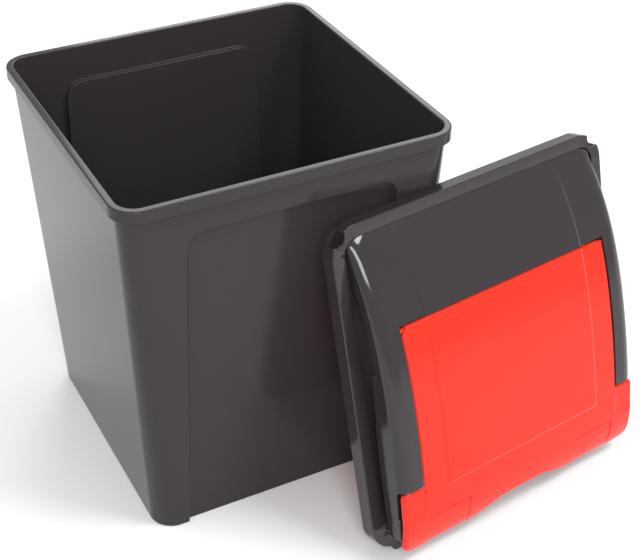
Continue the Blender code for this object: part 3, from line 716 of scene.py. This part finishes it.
class Wire:    # a socket whose arithmetic adds Math nodes
    def __init__(self, tree, socket):
        self.tree, self.socket = tree, socket

    def math(self, operation, *values):
        return self.tree.node("ShaderNodeMath", {"operation": operation}, dict(enumerate(values)))

    def __add__(self, other):
        return self.math("ADD", self, other)

    def __mul__(self, other):
        return self.math("MULTIPLY", self, other)

    def __sub__(self, other):
        return self.math("SUBTRACT", self, other)

    def __rsub__(self, other):
        return self.math("SUBTRACT", other, self)

    __radd__, __rmul__ = __add__, __mul__


class Tree:    # one material's nodes
    def __init__(self, name):
        self.material = bpy.data.materials.new(name)
        self.material.use_nodes = True
        self.nodes, self.links = self.material.node_tree.nodes, self.material.node_tree.links
        self.shader = self.nodes["Principled BSDF"]

    def node(self, kind, settings=None, inputs=None, output=0):
        made = self.nodes.new(kind)
        for key, value in (settings or {}).items():
            if key == "stops":
                for stop, (place, level) in zip(made.color_ramp.elements, value):
                    stop.position, stop.color = place, (level, level, level, 1)
            else:
                setattr(made, key, value)
        for key, value in (inputs or {}).items():
            if isinstance(value, Wire):
                self.links.new(value.socket, made.inputs[key])
            else:
                made.inputs[key].default_value = value
        return Wire(self, made.outputs[output])

    def noise(self, scale, detail, roughness=0.5):
        place = self.node("ShaderNodeTexCoord", output="Object")
        return self.node("ShaderNodeTexNoise", {}, {"Vector": place, "Scale": scale, "Detail": detail,
                                                    "Roughness": roughness})

    def between(self, factor, first, second):    # a colour mix
        return self.node("ShaderNodeMix", {"data_type": "RGBA"},
                         {"Factor": factor, 6: (*first, 1), 7: (*second, 1)}, output=2)

    def feed(self, **sockets):
        for key, value in sockets.items():
            socket = self.shader.inputs[key.replace("_", " ")]
            if isinstance(value, Wire):
                self.links.new(value.socket, socket)
            else:
                socket.default_value = value


def mouldedPlastic(name, look):
    tree = Tree(name)
    cloud = tree.noise(look["cloudScale"], 4)
    smear = tree.node("ShaderNodeValToRGB", {"stops": look["smearStops"]},
                      {"Fac": tree.noise(look["smearScale"], 6, 0.6)})
    grain = tree.noise(look["grainScale"], 2)
    wave = tree.noise(look["waveScale"], 1)
    base = tree.between(cloud, look["colour"], look["shade"])
    rough = look["roughness"] + (cloud - 0.5) * look["cloudRoughness"] + smear * look["smear"]
    bump = tree.node("ShaderNodeBump", {}, {"Strength": look["wave"], "Distance": look["waveDepth"],
                                            "Height": wave})
    fine = tree.node("ShaderNodeBump", {}, {"Strength": look["grain"], "Distance": look["grainDepth"],
                                            "Height": grain, "Normal": bump})
    tree.feed(Base_Color=base, Roughness=rough, Normal=fine, IOR=look["ior"])
    return tree.material


allPlastic = {"smearStops": ((0.42, 0), (0.72, 1)), "waveDepth": 0.001, "grainDepth": 0.0002}
looks = {
    "tub": {"colour": (0.0350, 0.0300, 0.0315), "shade": (0.0400, 0.0345, 0.0360), "ior": 1.26,
            "roughness": 0.100, "cloudRoughness": 0.04, "cloudScale": 9, "smear": 0.05, "smearScale": 26,
            "wave": 0.05, "waveScale": 14, "grain": 0.03, "grainScale": 1800},
    "frame": {"colour": (0.0290, 0.0235, 0.0250), "shade": (0.0330, 0.0265, 0.0285), "ior": 1.45,
              "roughness": 0.10, "cloudRoughness": 0.03, "cloudScale": 12, "smear": 0.04, "smearScale": 30,
              "wave": 0.03, "waveScale": 24, "grain": 0.02, "grainScale": 2400},
    "cover": {"colour": (0.0225, 0.0175, 0.0190), "shade": (0.0260, 0.0205, 0.0225), "ior": 1.45,
              "roughness": 0.10, "cloudRoughness": 0.03, "cloudScale": 10, "smear": 0.04, "smearScale": 24,
              "wave": 0.04, "waveScale": 18, "grain": 0.02, "grainScale": 2400},
    "flap": {"colour": (0.76, 0.027, 0.012), "shade": (0.73, 0.024, 0.010), "ior": 1.31,
             "roughness": 0.13, "cloudRoughness": 0.03, "cloudScale": 10, "smear": 0.04, "smearScale": 22,
             "wave": 0.04, "waveScale": 18, "grain": 0.02, "grainScale": 2400},
}
pieces = (
    (tubPiece, "tub", "tub", "tub", "tub_plastic"),
    (framePiece, "lid_frame", "lid", "frame", "frame_plastic"),
    (coverPiece, "lid_cover", "lid", "cover", "cover_plastic"),
    (flapPiece, "flap", "flap", "flap", "flap_plastic"),
)
for piece, node, body, look, slot in pieces:
    piece.data.materials.clear()
    piece.data.materials.append(mouldedPlastic(f"{look}_plastic", {**allPlastic, **looks[look]}))
    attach(piece, body)
    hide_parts(node)
print("materials and bodies given")


# Floor, light and camera

room = {
    "floorSize": 9.0, "floorColour": (0.95, 0.945, 0.945), "floorShade": (0.93575, 0.930825, 0.930825),
    "floorScale": 3, "floorRoughness": 0.85, "sky": 0.85,
    "lamps": (    # place, aim, size, watts
        ((1.00, -1.00, 2.45), (0, 0, 0.15), 0.8, 32),
        ((1.10, 2.10, 1.80), (0, 0, 0.25), 1.2, 18),
        ((-0.65, -1.85, 1.62), (0, 0, 0.20), 0.7, 20),
    ),
}
view = {
    "place": (-0.4206, -0.9757, 0.9019), "yaw": -28.03, "down": 35.22, "roll": 0.836,
    "focal": 1374.4, "frameWidth": 640,    # both in pixels
    "sensor": 36,
}


def plainStage():
    bpy.ops.object.select_all(action="DESELECT")
    bpy.ops.mesh.primitive_plane_add(size=room["floorSize"])
    floor = added("floor")
    tree = Tree("pale_floor")
    tone = tree.between(tree.noise(room["floorScale"], 2), room["floorColour"], room["floorShade"])
    tree.feed(Base_Color=tone, Roughness=room["floorRoughness"])
    floor.data.materials.append(tree.material)
    world = bpy.data.worlds.new("studio")
    world.use_nodes = True
    sky = world.node_tree.nodes["Background"].inputs
    sky["Color"].default_value, sky["Strength"].default_value = (1, 1, 1, 1), room["sky"]
    bpy.context.scene.world = world
    for number, (place, aim, size, watts) in enumerate(room["lamps"]):
        bpy.ops.object.light_add(type="AREA", location=place)
        lamp = bpy.context.object
        lamp.name = f"softbox_{number}"
        lamp.data.size, lamp.data.energy = size, watts
        lamp.rotation_euler = (Vector(aim) - Vector(place)).to_track_quat("-Z", "Y").to_euler()


def addCamera():
    yaw, down, roll = (math.radians(view[key]) for key in ("yaw", "down", "roll"))
    forward = Vector((-math.sin(yaw) * math.cos(down), math.cos(yaw) * math.cos(down), -math.sin(down)))
    right = Vector((math.cos(yaw), math.sin(yaw), 0))
    up = right.cross(forward)
    right, up = right * math.cos(roll) + up * math.sin(roll), up * math.cos(roll) - right * math.sin(roll)
    turn = Matrix((right, up, -forward)).transposed().to_4x4()
    bpy.ops.object.camera_add()
    camera = bpy.context.object
    camera.matrix_world = Matrix.Translation(Vector(view["place"])) @ turn
    camera.data.sensor_width = view["sensor"]
    camera.data.lens = view["focal"] * view["sensor"] / view["frameWidth"]
    bpy.context.scene.camera = camera


plainStage()
addCamera()
bpy.context.scene.view_settings.view_transform = "Standard"
print("stage set")
